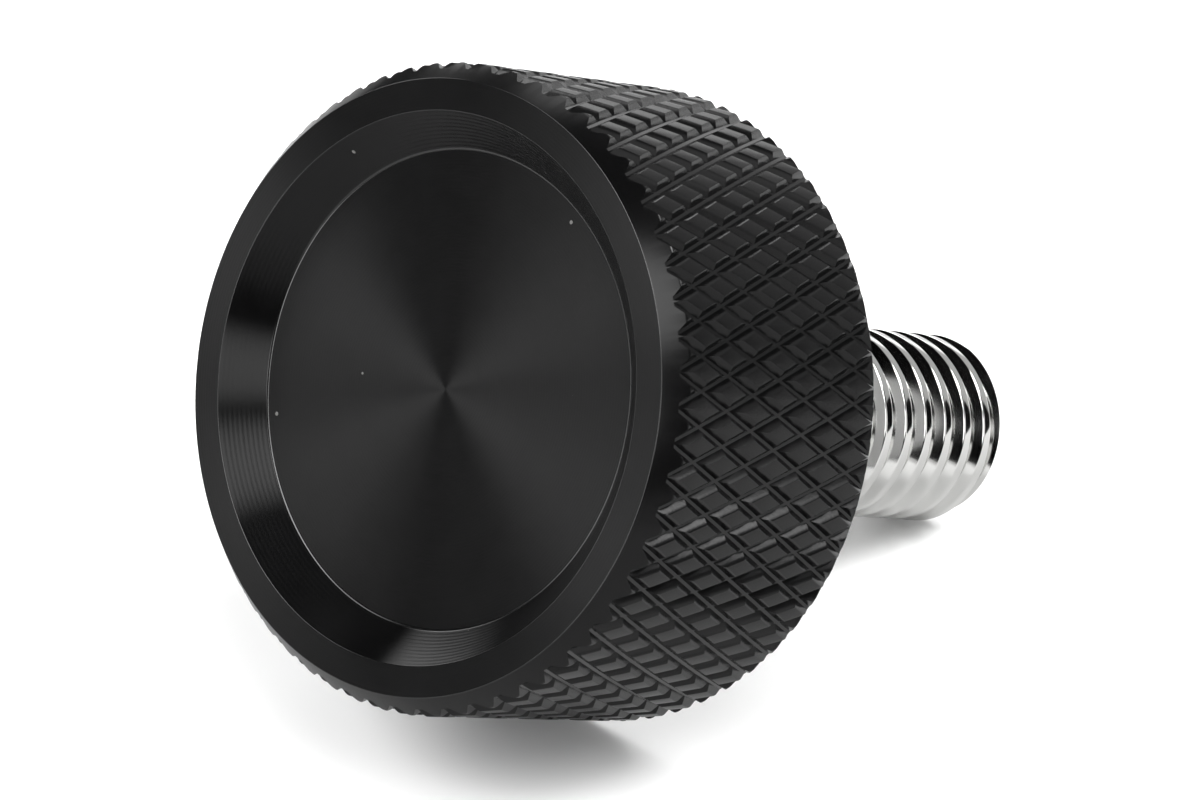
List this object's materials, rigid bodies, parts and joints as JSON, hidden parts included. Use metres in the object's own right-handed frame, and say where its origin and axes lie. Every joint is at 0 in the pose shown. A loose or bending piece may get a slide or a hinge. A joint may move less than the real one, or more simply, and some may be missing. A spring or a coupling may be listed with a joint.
{
  "type": "license plate bolt",
  "caption": "Thumb bolt with a diamond-knurled black round head, a shallow dish in its face, and a bright machine-threaded stud.",
  "frame": {"origin": "on the axis, in the plane of the flat rim round the face", "axes": "+Z along the axis from the face towards the free end of the stud"},
  "size_m": [0.019, 0.019, 0.0245],
  "materials": {
    "black_anodised": "turned and black anodised, satin, semi-gloss on the knurl",
    "bright_plating": "bright plated steel, polished"
  },
  "bodies": {
    "root": {"head": "black_anodised", "stud": "bright_plating"}
  },
  "joints": []
}
